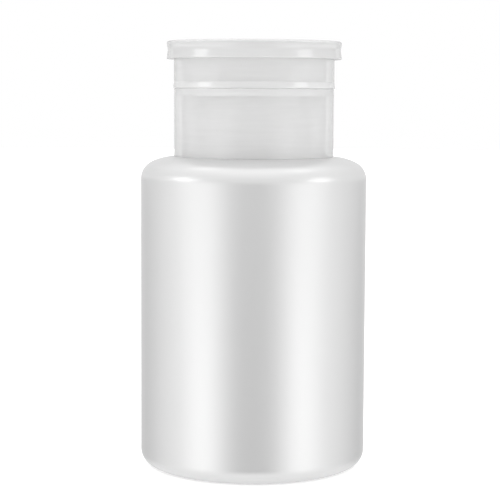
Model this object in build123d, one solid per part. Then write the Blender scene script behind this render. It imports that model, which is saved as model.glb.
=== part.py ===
"""A press-down pump bottle for nail polish remover.

A cotton pad is laid on the round button in the tray under the flip lid, and pressed down. The button
drives a small piston pump that hangs in the neck, and a measured dose comes up through the nozzle into
the pad. A double-walled screw collar holds the pump, and a tray ring keyed into it carries the lid.

Every length is in millimetres and every angle in degrees. The bottle stands on z = 0 with its axis on
the Z axis. The front faces -Y, and the lid's hinge is at the back, towards +Y.
"""

import math
import os

from build123d import *

# Shared clearances and overruns
running_gap = 0.08
press_gap = 0.04
seat_gap = 0.1
free_gap = 0.3
overrun = 1.0
full_turn = 360.0
quarter_turn = 90.0

# Bottle: a blow-moulded shell with a threaded neck and a pushed-up base
body_r = 30.0
bottle_wall = 1.2
base_corner_r = 4.1
foot_w = 2.9
push_up_depth = 2.0
shoulder_z = 82.5
shoulder_fall_w = 9.0
shoulder_land_r = body_r - shoulder_fall_w
shoulder_dome_r = 14.0
shoulder_corner_r = 5.0
neck_bore_r = 11.0
neck_wall = 1.4
neck_height = 14.2
neck_root_r = 0.8
foot_inner_r = body_r - base_corner_r - foot_w
neck_r = neck_bore_r + neck_wall
neck_top_z = shoulder_z + neck_height

# Screw thread: the neck and the collar share its pitch and its section
thread_pitch = 3.2
thread_depth = 1.15
thread_root_w = 1.7
thread_crest_w = 0.7
thread_bury = 0.35
thread_gap = 0.35
neck_thread_turns = 2.0
neck_thread_rise = 3.5
collar_thread_turns = 1.25
neck_thread_z = shoulder_z + neck_thread_rise
collar_thread_z = neck_thread_z + thread_pitch / 2
neck_crest_r = neck_r + thread_depth

# Gasket: a foam washer on the rim of the neck
gasket_t = 1.0
gasket_margin = 0.4
gasket_r = neck_r + gasket_margin
gasket_z = neck_top_z

# Pump cylinder: a flange on the gasket, a cup for the button's skirt, and the barrel below it
flange_t = 1.2
flange_margin = 0.5
cup_wall = 0.8
cup_floor_t = 1.2
cup_depth = 3.9
barrel_bore_r = 6.8
barrel_wall = 1.2
barrel_length = 21.5
flange_z = gasket_z + gasket_t
flange_top_z = flange_z + flange_t
flange_r = neck_r + flange_margin
cup_r = neck_bore_r - free_gap
cup_bore_r = cup_r - cup_wall
cup_floor_z = flange_top_z - cup_depth
barrel_r = barrel_bore_r + barrel_wall
barrel_floor_z = cup_floor_z - barrel_length

# Inlet valve: a steel ball on a 45 degree seat, kept in by a star washer under the spring
inlet_ball_r = 2.2
inlet_ball_lift = 1.2
inlet_bore_r = 1.5
valve_room = 0.7
retainer_t = 1.0
retainer_hole_r = 1.4
retainer_slot_w = 0.9
retainer_slot_r = 3.6
retainer_slots = 3
valve_chamber_r = inlet_ball_r + valve_room
ball_stop_drop = math.sqrt(inlet_ball_r**2 - retainer_hole_r**2)
inlet_ball_z = barrel_floor_z - ball_stop_drop - seat_gap - inlet_ball_lift
seat_bottom_z = inlet_ball_z - seat_gap - inlet_ball_r * math.sqrt(2) + inlet_bore_r
seat_top_z = seat_bottom_z + valve_chamber_r - inlet_bore_r
spring_floor_z = barrel_floor_z + retainer_t

# Dip tube: pushed into the spigot under the barrel, cut on the slant above the base
tube_bore_r = 1.9
tube_wall = 0.8
tube_floor_gap = 1.5
tube_cut_angle = 40.0
spigot_wall = 1.3
spigot_length = 5.0
seat_web_t = 1.5
tube_r = tube_bore_r + tube_wall
socket_r = tube_r + press_gap
spigot_r = socket_r + spigot_wall
tube_top_z = seat_bottom_z - seat_web_t
spigot_z = tube_top_z - spigot_length
tube_bottom_z = push_up_depth + bottle_wall + tube_floor_gap

# Stroke of the button, with the stem, the piston and the outlet valve that ride on it
stroke = 4.5
stem_r = 2.6
stem_bore_r = 1.2
tail_r = 2.0
piston_h = 4.2
piston_lip_h = 0.9
piston_waist_r = 6.1
spring_seat_t = 1.0
spring_seat_r = 4.7
spring_seat_sleeve_h = 2.0
spring_seat_sleeve_wall = 0.9

# Stem guide: closes the barrel, and holds the wiper ring round the stem
guide_rim_r = 8.4
guide_rim_t = 1.4
guide_plug_h = 2.8
wiper_h = 1.1
wiper_w = 1.5
wiper_round = 0.3
guide_top_z = cup_floor_z + guide_rim_t
guide_bottom_z = cup_floor_z - guide_plug_h
guide_bore_r = stem_r + running_gap
wiper_r = stem_r + wiper_w
piston_top_z = guide_bottom_z - seat_gap
piston_z = piston_top_z - piston_h
spring_top_z = piston_z - spring_seat_t
tail_bottom_z = spring_top_z - spring_seat_sleeve_h

# Return spring: round wire, laid as arcs of a quarter turn
spring_mean_r = 4.1
spring_wire_r = 0.375
spring_turns = 7
arcs_in_turn = 4
points_in_turn = 40

# Press button: a shallow dish with a guiding skirt and a hub for the stem
button_r = 9.6
button_skirt_wall = 1.0
button_top_t = 1.1
button_dish_drop = 0.85
button_edge_r = 0.5
button_skirt_h = 5.4
hub_wall = 1.55
outlet_ball_r = 1.5
outlet_ball_lift = 0.8
ball_well_r = 1.75
nozzle_r = 3.0
nozzle_t = 1.0
nozzle_post_r = 0.8
nozzle_hole_r = 0.4
nozzle_hole_ring_r = 1.9
nozzle_holes = 6
nozzle_floor_gap = 1.0
nozzle_room_r = 2.4
skirt_bottom_z = guide_top_z + free_gap + stroke
button_top_z = skirt_bottom_z + button_skirt_h
dish_centre_z = button_top_z - button_dish_drop
nozzle_z = dish_centre_z + seat_gap - nozzle_t
stem_top_z = nozzle_z - nozzle_floor_gap
post_bottom_z = stem_top_z - running_gap
outlet_ball_top_z = post_bottom_z - seat_gap - outlet_ball_lift
outlet_ball_z = outlet_ball_top_z - outlet_ball_r
ball_well_z = outlet_ball_z - math.sqrt(outlet_ball_r**2 - stem_bore_r**2) - press_gap

# Screw collar: an outer wall and a threaded sleeve, joined by a plate and radial webs
sleeve_wall = 1.4
sleeve_lift = 1.2
channel_w = 3.75
collar_wall = 2.1
plate_t = 1.6
channel_round = 1.0
web_t = 1.3
web_h = 5.5
web_count = 6
collar_edge_r = 0.25
plate_hole_margin = 0.2
collar_z = shoulder_z + free_gap
plate_z = flange_top_z
plate_top_z = plate_z + plate_t
sleeve_bore_r = neck_crest_r + thread_gap
sleeve_r = sleeve_bore_r + sleeve_wall
channel_r = sleeve_r + channel_w
collar_r = channel_r + collar_wall
sleeve_z = collar_z + sleeve_lift
plate_hole_r = cup_bore_r + plate_hole_margin

# Tray ring: the well round the button, keyed into the top of the collar
ring_h = 10.5
ring_step = 0.09
ring_wall = 2.18
foot_bead_out = 0.16
foot_bead_h = 0.8
tray_floor_t = 0.9
tray_fall = 0.25
tray_round = 1.5
weir_h = 1.2
weir_wall = 0.8
tongue_t = 1.0
tongue_h = 2.0
tongue_inset = 0.5
rim_round = 0.4
ring_r = collar_r + ring_step
ring_bore_r = ring_r - ring_wall
ring_top_z = plate_top_z + ring_h
tongue_r = collar_r - tongue_inset
tray_hole_r = button_r + free_gap
weir_r = tray_hole_r + weir_wall

# Flip lid: a flat cap with a recessed top, a waisted skirt and a ring that plugs the well
lid_skirt_gap = 0.22
lid_skirt_wall = 1.65
lid_plate_t = 1.7
lid_skirt_h = 3.0
lid_waist_in = 0.28
lid_waist_h = 2.6
lid_waist_round = 2.8
lid_lip_out = 0.06
lid_edge_r = 0.5
lid_rim_w = 1.5
lid_recess = 0.45
plug_gap = 0.56
plug_wall = 1.2
plug_h = 1.6
lid_z = ring_top_z + seat_gap
lid_top_z = lid_z + lid_plate_t
lid_bore_r = ring_r + lid_skirt_gap
lid_r = lid_bore_r + lid_skirt_wall
skirt_z = lid_z - lid_skirt_h
plug_r = ring_bore_r - plug_gap

# Hinge: two ears on the tray ring take the pins of the lid's knuckle
hinge_out = 1.2
hinge_drop = 1.9
ear_r = 1.7
ear_t = 2.6
ear_gap = 0.3
ear_bury = 0.45
ear_gusset = 3.0
knuckle_w = 6.6
pin_r = 1.0
pin_end_gap = 0.2
notch_gap = 0.4
knuckle_cover_t = 1.2
knuckle_back_round = 0.7
hinge_y = lid_r + hinge_out
hinge_z = lid_z - hinge_drop
ear_inner_x = knuckle_w / 2 + ear_gap
ear_outer_x = ear_inner_x + ear_t


def turned(*corners):
    """A solid turned round the Z axis from corners (radius, height) or (radius, height, rounding)."""
    points = [corner[:2] for corner in corners]
    rounds = [corner[2] if len(corner) > 2 else 0 for corner in corners]
    outline = FilletPolyline(*points, radius=rounds, close=True)
    return revolve(Plane.XZ * make_face(outline), Axis.Z)


def rod(radius, bottom_z, top_z):
    """A round rod on the Z axis."""
    upright = (Align.CENTER, Align.CENTER, Align.MIN)
    return Pos(0, 0, bottom_z) * Cylinder(radius, top_z - bottom_z, align=upright)


def around(shape, count):
    """Copies of a shape spaced evenly round the Z axis."""
    return [Rot(0, 0, full_turn * index / count) * shape for index in range(count)]


def slab_across_x(outline, width, centre_x=0):
    """An outline of (y, z) points, thickened by width along X about centre_x."""
    face = Plane.YZ * make_face(Polyline(*outline, close=True))
    return Pos(centre_x - width / 2, 0, 0) * extrude(face, amount=width, dir=(1, 0, 0))


def rod_across_x(radius, width, y, z, centre_x=0):
    """A round rod along X."""
    return Pos(centre_x, y, z) * Rot(0, quarter_turn, 0) * Cylinder(radius, width)


def thread_ridge(wall_r, depth, turns, start_z):
    """A helical ridge on a round wall: outwards where depth is positive, inwards where it is negative."""
    buried_r = wall_r - math.copysign(thread_bury, depth)
    crest_r = wall_r + depth
    crest = thread_crest_w / 2
    flank = (thread_root_w - thread_crest_w) / 2 / thread_depth
    buried = crest + flank * (thread_depth + thread_bury)
    corners = [(buried_r, -buried), (crest_r, -crest), (crest_r, crest), (buried_r, buried)]
    section = Polyline(*corners, close=True)
    path = Helix(thread_pitch, thread_pitch * turns, wall_r)
    return Pos(0, 0, start_z) * sweep(Plane.XZ * make_face(section), path=path, is_frenet=True)


def bottle_section(inset, neck, root, top_z):
    """Half section of the bottle, filled in to the axis, with its body inset from the outer surface."""
    side = body_r - inset
    base_turn = base_corner_r - inset
    dome = shoulder_dome_r - inset
    corner = shoulder_corner_r - inset
    land_z = shoulder_z - inset
    dome_z = land_z - dome
    reach = side - corner - shoulder_land_r
    corner_z = dome_z + math.sqrt((dome - corner) ** 2 - reach**2)
    lean = math.degrees(math.asin(reach / (dome - corner)))
    crown_r = (foot_inner_r**2 + push_up_depth**2) / (2 * push_up_depth)
    crown_half = math.asin(foot_inner_r / crown_r) / 2
    crown_mid = (crown_r * math.sin(crown_half), inset + push_up_depth - crown_r * (1 - math.cos(crown_half)))
    edges = [
        ThreePointArc((0, push_up_depth + inset), crown_mid, (foot_inner_r, inset)),
        Line((foot_inner_r, inset), (side - base_turn, inset)),
        CenterArc((side - base_turn, inset + base_turn), base_turn, -quarter_turn, quarter_turn),
        Line((side, inset + base_turn), (side, corner_z)),
        CenterArc((side - corner, corner_z), corner, 0, quarter_turn - lean),
        CenterArc((shoulder_land_r, dome_z), dome, quarter_turn - lean, lean),
        Line((shoulder_land_r, land_z), (neck + root, land_z)),
        CenterArc((neck + root, land_z + root), root, -quarter_turn, -quarter_turn),
        Line((neck, land_z + root), (neck, top_z)),
        Line((neck, top_z), (0, top_z)),
        Line((0, top_z), (0, push_up_depth + inset)),
    ]
    return revolve(Plane.XZ * make_face(Wire([edge.edge() for edge in edges])), Axis.Z)


def bottle_body():
    """The bottle: one hollow moulding with an open neck."""
    outside = bottle_section(0, neck_r, neck_root_r, neck_top_z)
    inside = bottle_section(bottle_wall, neck_bore_r, neck_root_r + bottle_wall, neck_top_z + overrun)
    ridge = thread_ridge(neck_r, thread_depth, neck_thread_turns, neck_thread_z)
    return outside - inside + ridge


def neck_gasket():
    """A flat washer between the rim of the neck and the pump's flange."""
    washer = rod(gasket_r, gasket_z, flange_z)
    return washer - rod(cup_r + seat_gap, gasket_z - overrun, flange_z + overrun)


def pump_cylinder():
    """The pump's housing: flange, cup, barrel, valve seat and the spigot for the dip tube."""
    return turned(
        (cup_bore_r, flange_top_z),
        (cup_bore_r, cup_floor_z),
        (barrel_bore_r, cup_floor_z),
        (barrel_bore_r, barrel_floor_z),
        (valve_chamber_r, barrel_floor_z),
        (valve_chamber_r, seat_top_z),
        (inlet_bore_r, seat_bottom_z),
        (inlet_bore_r, tube_top_z),
        (socket_r, tube_top_z),
        (socket_r, spigot_z),
        (spigot_r, spigot_z),
        (spigot_r, seat_bottom_z),
        (barrel_r, seat_bottom_z + barrel_r - spigot_r),
        (barrel_r, cup_floor_z - cup_floor_t),
        (cup_r, cup_floor_z - cup_floor_t),
        (cup_r, flange_z),
        (flange_r, flange_z),
        (flange_r, flange_top_z),
    )


def ball_retainer():
    """A star washer on the floor of the barrel: it stops the ball, and lets the liquid round it."""
    washer = rod(barrel_bore_r - press_gap, barrel_floor_z, spring_floor_z)
    washer -= rod(retainer_hole_r, barrel_floor_z - overrun, spring_floor_z + overrun)
    slot = Box(2 * retainer_slot_r, retainer_slot_w, retainer_t + overrun)
    slot = Pos(0, 0, barrel_floor_z + retainer_t / 2) * slot
    for turn in range(retainer_slots):
        washer -= Rot(0, 0, full_turn / 2 * turn / retainer_slots) * slot
    return washer


def inlet_ball():
    """The ball of the inlet valve."""
    return Pos(0, 0, inlet_ball_z) * Sphere(inlet_ball_r)


def dip_tube():
    """The straight tube that reaches down to the base, with its lower end cut on the slant."""
    tube = rod(tube_r, tube_bottom_z, tube_top_z)
    tube -= rod(tube_bore_r, tube_bottom_z - overrun, tube_top_z + overrun)
    slant = 2 * tube_r * math.tan(math.radians(tube_cut_angle))
    waste = [
        (-tube_r - overrun, tube_bottom_z - overrun),
        (tube_r + overrun, tube_bottom_z - overrun),
        (tube_r + overrun, tube_bottom_z + slant * (1 + overrun / (2 * tube_r))),
        (-tube_r, tube_bottom_z),
        (-tube_r - overrun, tube_bottom_z),
    ]
    return tube - slab_across_x(waste, 2 * (tube_r + overrun))


def stem_guide():
    """The cap of the barrel, with a plain bore for the stem and a pocket for the wiper ring."""
    return turned(
        (guide_bore_r, guide_top_z),
        (guide_rim_r, guide_top_z),
        (guide_rim_r, cup_floor_z),
        (barrel_bore_r - press_gap, cup_floor_z),
        (barrel_bore_r - press_gap, guide_bottom_z),
        (wiper_r + press_gap, guide_bottom_z),
        (wiper_r + press_gap, guide_bottom_z + wiper_h),
        (guide_bore_r, guide_bottom_z + wiper_h),
    )


def stem_wiper():
    """The soft ring that wipes the stem."""
    return turned(
        (guide_bore_r, guide_bottom_z, wiper_round),
        (wiper_r, guide_bottom_z, wiper_round),
        (wiper_r, guide_bottom_z + wiper_h, wiper_round),
        (guide_bore_r, guide_bottom_z + wiper_h, wiper_round),
    )


def pump_stem():
    """The hollow rod between the button and the piston, with the outlet valve's well in its top."""
    return turned(
        (stem_bore_r, tail_bottom_z),
        (tail_r, tail_bottom_z),
        (tail_r, piston_top_z),
        (stem_r, piston_top_z),
        (stem_r, stem_top_z),
        (ball_well_r, stem_top_z),
        (ball_well_r, ball_well_z),
        (stem_bore_r, ball_well_z),
    )


def piston_seal():
    """The piston: two lips on a waisted hub, held between the stem's shoulder and the spring seat."""
    lip_r = barrel_bore_r - running_gap
    return turned(
        (tail_r + press_gap, piston_z),
        (lip_r, piston_z),
        (lip_r, piston_z + piston_lip_h),
        (piston_waist_r, piston_z + 2 * piston_lip_h),
        (piston_waist_r, piston_top_z - 2 * piston_lip_h),
        (lip_r, piston_top_z - piston_lip_h),
        (lip_r, piston_top_z),
        (tail_r + press_gap, piston_top_z),
    )


def spring_seat():
    """The flanged sleeve on the stem's tail that holds the piston up and takes the spring's push."""
    sleeve_r = tail_r + press_gap + spring_seat_sleeve_wall
    return turned(
        (tail_r + press_gap, tail_bottom_z),
        (sleeve_r, tail_bottom_z),
        (sleeve_r, spring_top_z),
        (spring_seat_r, spring_top_z),
        (spring_seat_r, piston_z),
        (tail_r + press_gap, piston_z),
    )


def helix_point(turn, rise):
    """The point and the direction of the spring's centreline at a turn."""
    angle = 2 * math.pi * turn
    point = Vector(spring_mean_r * math.cos(angle), spring_mean_r * math.sin(angle), rise * turn)
    slope = rise / (2 * math.pi)
    direction = Vector(-spring_mean_r * math.sin(angle), spring_mean_r * math.cos(angle), slope)
    return point, direction.normalized()


def biarc(start, start_way, end, end_way):
    """Two arcs in line with each other and with the directions at both ends."""
    span = end - start
    both = start_way + end_way
    bend = 2 * (1 - start_way.dot(end_way))
    reach = (math.sqrt(span.dot(both) ** 2 + bend * span.dot(span)) - span.dot(both)) / bend
    middle = (start + end) * 0.5 + (start_way - end_way) * (reach / 2)
    first = TangentArc(start, middle, tangent=start_way)
    second = TangentArc(middle, end, tangent=first % 1)
    return [first, second]


def least_gap(path):
    """The least gap between the spring's turns, measured between points of its centreline."""
    count = spring_turns * points_in_turn
    points = path.positions([step / count for step in range(count + 1)])
    gaps = []
    for index, here in enumerate(points):
        gaps += [(there - here).length for there in points[index + points_in_turn // 2:]]
    return min(gaps) - 2 * spring_wire_r


def return_spring():
    """The coil spring between the star washer and the spring seat."""
    length = spring_top_z - spring_floor_z - 2 * spring_wire_r
    rise = length / spring_turns
    stations = [helix_point(step / arcs_in_turn, rise) for step in range(spring_turns * arcs_in_turn + 1)]
    edges = []
    for here, there in zip(stations, stations[1:]):
        edges += [arc.edge() for arc in biarc(here[0], here[1], there[0], there[1])]
    path = Wire(edges)
    section = Plane(origin=stations[0][0], z_dir=stations[0][1]) * Circle(spring_wire_r)
    print(f"spring wire {path.length:.1f} mm long, least gap between turns {least_gap(path):.2f} mm")
    return Pos(0, 0, spring_floor_z + spring_wire_r) * sweep(section, path=path)


def press_button():
    """The dished button, its guiding skirt and the hub that grips the stem."""
    hub_bore_r = stem_r + press_gap
    hub_r = hub_bore_r + hub_wall
    pocket_r = nozzle_r + press_gap
    under_z = dish_centre_z - button_top_t
    return turned(
        (hub_bore_r, skirt_bottom_z),
        (hub_bore_r, stem_top_z),
        (nozzle_room_r, stem_top_z),
        (nozzle_room_r, nozzle_z),
        (pocket_r, nozzle_z),
        (pocket_r, dish_centre_z),
        (button_r - 2 * button_edge_r, button_top_z, button_edge_r),
        (button_r, button_top_z, button_edge_r),
        (button_r, skirt_bottom_z),
        (button_r - button_skirt_wall, skirt_bottom_z),
        (button_r - button_skirt_wall, under_z, button_edge_r),
        (hub_r, under_z, button_edge_r),
        (hub_r, skirt_bottom_z),
    )


def nozzle_insert():
    """The pressed-in nozzle: a ring of outlet holes, and a post that stops the outlet ball."""
    top_z = nozzle_z + nozzle_t
    disc = rod(nozzle_r, nozzle_z, top_z) + rod(nozzle_post_r, post_bottom_z, top_z)
    hole = Pos(nozzle_hole_ring_r, 0, 0) * rod(nozzle_hole_r, nozzle_z - overrun, top_z + overrun)
    for copy in around(hole, nozzle_holes):
        disc -= copy
    return disc


def outlet_ball():
    """The ball of the outlet valve, in the well at the top of the stem."""
    return Pos(0, 0, outlet_ball_z) * Sphere(outlet_ball_r)


def screw_collar():
    """The double-walled collar: outer wall, plate, threaded sleeve and the webs between the walls."""
    groove_r = tongue_r + press_gap
    groove_bore_r = tongue_r - tongue_t - press_gap
    groove_z = plate_top_z - tongue_h - seat_gap
    collar = turned(
        (plate_hole_r, plate_z),
        (sleeve_bore_r, plate_z),
        (sleeve_bore_r, sleeve_z),
        (sleeve_r, sleeve_z),
        (sleeve_r, plate_z, channel_round),
        (channel_r, plate_z, channel_round),
        (channel_r, collar_z),
        (collar_r, collar_z, collar_edge_r),
        (collar_r, plate_top_z, collar_edge_r),
        (groove_r, plate_top_z),
        (groove_r, groove_z),
        (groove_bore_r, groove_z),
        (groove_bore_r, plate_top_z),
        (plate_hole_r, plate_top_z),
    )
    web_run = channel_r - sleeve_r + 2 * thread_bury
    web = Box(web_t, web_run, web_h + thread_bury, align=(Align.CENTER, Align.MAX, Align.MIN))
    web = Pos(0, -sleeve_r + thread_bury, plate_z - web_h) * web
    for copy in around(web, web_count):
        collar += copy
    return collar + thread_ridge(sleeve_bore_r, -thread_depth, collar_thread_turns, collar_thread_z)


def ear(centre_x):
    """One hinge ear, with its bore, on the back of the tray ring."""
    root_y = ring_bore_r + ear_bury
    outline = [
        (root_y, hinge_z + ear_r / 2),
        (root_y, hinge_z - ear_r - ear_gusset),
        (hinge_y, hinge_z - ear_r),
        (hinge_y, hinge_z + ear_r / 2),
    ]
    lug = slab_across_x(outline, ear_t, centre_x) + rod_across_x(ear_r, ear_t, hinge_y, hinge_z, centre_x)
    return lug - rod_across_x(pin_r + running_gap, ear_t + overrun, hinge_y, hinge_z, centre_x)


def tray_ring():
    """The well round the button: wall, draining floor, weir, keying tongue and the hinge ears."""
    floor_z = plate_top_z + tray_floor_t
    foot_r = ring_r + foot_bead_out
    ring = turned(
        (ring_bore_r, ring_top_z, rim_round),
        (ring_bore_r, floor_z + tray_fall, tray_round),
        (weir_r, floor_z),
        (weir_r, floor_z + weir_h),
        (tray_hole_r, floor_z + weir_h),
        (tray_hole_r, plate_top_z),
        (tongue_r - tongue_t, plate_top_z),
        (tongue_r - tongue_t, plate_top_z - tongue_h),
        (tongue_r, plate_top_z - tongue_h),
        (tongue_r, plate_top_z),
        (foot_r, plate_top_z),
        (foot_r, plate_top_z + foot_bead_h),
        (ring_r, plate_top_z + foot_bead_h + foot_bead_out),
        (ring_r, ring_top_z, rim_round),
    )
    ear_x = ear_inner_x + ear_t / 2
    return ring + ear(-ear_x) + ear(ear_x)


def flip_lid():
    """The lid: recessed top, waisted skirt, plug ring, and the knuckle with its two pins."""
    waist_z = skirt_z + lid_waist_h
    recess_r = lid_r - lid_rim_w
    lid = turned(
        (0, lid_top_z - lid_recess),
        (0, lid_z),
        (plug_r - plug_wall, lid_z),
        (plug_r - plug_wall, lid_z - plug_h),
        (plug_r, lid_z - plug_h),
        (plug_r, lid_z),
        (lid_bore_r, lid_z),
        (lid_bore_r, skirt_z),
        (lid_r + lid_lip_out, skirt_z),
        (lid_r - lid_waist_in, waist_z, lid_waist_round),
        (lid_r, lid_top_z - 2 * lid_edge_r, lid_edge_r),
        (lid_r, lid_top_z, lid_edge_r),
        (recess_r + lid_recess, lid_top_z),
        (recess_r, lid_top_z - lid_recess),
    )
    notch_x = ear_outer_x + notch_gap
    notch_depth = lid_r + lid_lip_out - ring_bore_r + overrun
    hanging = (Align.CENTER, Align.MIN, Align.MAX)
    notch = Box(2 * notch_x, notch_depth, lid_skirt_h + overrun, align=hanging)
    lid -= Pos(0, ring_bore_r, lid_z) * notch
    front_y = hinge_y - ear_r
    back_y = hinge_y + ear_r
    cover_z = lid_z + knuckle_cover_t
    outline = [
        (front_y - ear_r, lid_z),
        (front_y, lid_z),
        (front_y, hinge_z),
        (back_y, hinge_z),
        (back_y, cover_z - knuckle_back_round),
        (back_y - knuckle_back_round, cover_z),
        (front_y - ear_r, cover_z),
    ]
    lid += slab_across_x(outline, knuckle_w)
    lid += rod_across_x(ear_r, knuckle_w, hinge_y, hinge_z)
    return lid + rod_across_x(pin_r, 2 * (ear_outer_x - pin_end_gap), hinge_y, hinge_z)


pieces = {
    "bottle_body": bottle_body,
    "neck_gasket": neck_gasket,
    "pump_cylinder": pump_cylinder,
    "ball_retainer": ball_retainer,
    "inlet_ball": inlet_ball,
    "dip_tube": dip_tube,
    "stem_guide": stem_guide,
    "stem_wiper": stem_wiper,
    "pump_stem": pump_stem,
    "piston_seal": piston_seal,
    "spring_seat": spring_seat,
    "return_spring": return_spring,
    "press_button": press_button,
    "nozzle_insert": nozzle_insert,
    "outlet_ball": outlet_ball,
    "screw_collar": screw_collar,
    "tray_ring": tray_ring,
    "flip_lid": flip_lid,
}


def main():
    """Builds every piece and writes one STEP file for each."""
    os.makedirs("parts", exist_ok=True)
    for name, make in pieces.items():
        export_step(make(), f"parts/{name}.step")


main()
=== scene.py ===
"""Looks of the press-down pump bottle for nail polish remover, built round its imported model.

Lengths in the code are in metres, and the sizes below are written in millimetres. The bottle stands on
z = 0 with its axis on Z. The front faces -Y, and the lid's hinge is at the back.
"""

import math

import bmesh
import bpy
from bpy.props import FloatProperty, FloatVectorProperty, IntProperty, PointerProperty
from mathutils import Matrix, Vector


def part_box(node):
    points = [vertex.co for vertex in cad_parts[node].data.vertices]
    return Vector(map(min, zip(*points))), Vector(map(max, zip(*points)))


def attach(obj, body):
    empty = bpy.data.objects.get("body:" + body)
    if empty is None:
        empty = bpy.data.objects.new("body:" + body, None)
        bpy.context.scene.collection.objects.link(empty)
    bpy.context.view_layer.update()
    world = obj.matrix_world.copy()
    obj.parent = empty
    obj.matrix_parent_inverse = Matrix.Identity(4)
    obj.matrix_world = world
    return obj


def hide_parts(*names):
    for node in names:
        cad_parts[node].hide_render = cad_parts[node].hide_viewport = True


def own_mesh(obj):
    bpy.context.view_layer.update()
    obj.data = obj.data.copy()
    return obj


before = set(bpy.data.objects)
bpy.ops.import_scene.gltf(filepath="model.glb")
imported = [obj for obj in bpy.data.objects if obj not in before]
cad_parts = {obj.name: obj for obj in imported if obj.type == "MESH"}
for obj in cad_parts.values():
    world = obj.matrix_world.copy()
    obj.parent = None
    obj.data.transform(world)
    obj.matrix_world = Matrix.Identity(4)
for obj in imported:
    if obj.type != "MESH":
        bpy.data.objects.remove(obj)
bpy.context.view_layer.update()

bl_info = {
    "name": "Remover pump bottle",
    "version": (1, 0, 0),
    "blender": (4, 5, 0),
    "location": "3D Viewport > Sidebar > Remover Pump",
    "description": "Builds the pearl bottle, its translucent pump head and a plain studio",
    "category": "Object",
}

mm = 0.001


def size(name, description, millimetres):
    """A length that a user may change, written in millimetres and kept in metres."""
    length = {"default": millimetres * mm, "unit": "LENGTH", "precision": 5}
    return FloatProperty(name=name, description=description, **length)


def angle(name, description, degrees):
    """An angle that a user may change, written in degrees."""
    turn = {"default": math.radians(degrees), "subtype": "ANGLE"}
    return FloatProperty(name=name, description=description, **turn)


def tint(name, description, hex_code):
    """A colour that a user may change, written as an sRGB hex value and kept linear."""
    colour = {"default": linear(hex_code), "size": 4, "subtype": "COLOR"}
    return FloatVectorProperty(name=name, description=description, **colour)


def amount(name, description, number):
    """A number of like things, or of turns, that a user may change."""
    kind = IntProperty if isinstance(number, int) else FloatProperty
    return kind(name=name, description=description, default=number)


def linear(hex_code):
    """The linear RGBA of an sRGB hex value."""
    channels = [int(hex_code[place : place + 2], 16) / 255 for place in (0, 2, 4)]
    return tuple(c / 12.92 if c <= 0.04045 else ((c + 0.055) / 1.055) ** 2.4 for c in channels) + (1.0,)


def shaded(colour, share):
    """The colour at a share of its level."""
    return tuple(c * share for c in colour[:3]) + (1.0,)


# Sizes and colours that a user would change


class BottleSizes(bpy.types.PropertyGroup):
    """The blow-moulded bottle."""

    body_r: size("Body radius", "Outer radius of the body", 30.0)
    wall: size("Wall", "Thickness of the body's wall", 1.2)
    base_corner_r: size("Base corner", "Rounding between the side and the base", 4.1)
    foot_w: size("Foot width", "Width of the ring that the bottle stands on", 2.9)
    push_up: size("Push-up", "Depth of the pushed-up base", 2.0)
    shoulder_z: size("Shoulder height", "Height of the flat land round the neck", 82.5)
    land_r: size("Land radius", "Radius at which the shoulder starts to fall", 21.0)
    dome_r: size("Dome rounding", "Large rounding of the shoulder", 14.0)
    corner_r: size("Corner rounding", "Small rounding between the shoulder and the side", 5.0)
    neck_bore_r: size("Neck bore", "Radius of the hole in the neck", 11.0)
    neck_wall: size("Neck wall", "Thickness of the neck", 1.4)
    neck_h: size("Neck height", "Height of the neck over the land", 14.2)
    neck_root_r: size("Neck root", "Rounding at the foot of the neck", 0.8)
    rim_r: size("Rim rounding", "Rounding of the neck's rim", 0.3)


class ThreadSizes(bpy.types.PropertyGroup):
    """The screw thread on the neck and in the collar."""

    pitch: size("Pitch", "Rise in one turn", 3.2)
    depth: size("Depth", "Height of the ridge", 1.15)
    root_w: size("Root width", "Width of the ridge at the wall", 1.7)
    crest_w: size("Crest width", "Width of the ridge at its crest", 0.7)
    bury: size("Bury", "Depth of the ridge's root in the wall", 0.35)
    gap: size("Gap", "Clearance between the crest and the other wall", 0.35)
    neck_rise: size("Start height", "Height of the neck thread's start over the land", 3.5)
    neck_turns: amount("Neck turns", "Turns of the thread on the neck", 2.0)
    collar_turns: amount("Collar turns", "Turns of the thread in the collar", 1.25)
    run_out: amount("Run-out", "Turns over which an end fades", 0.06)


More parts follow.
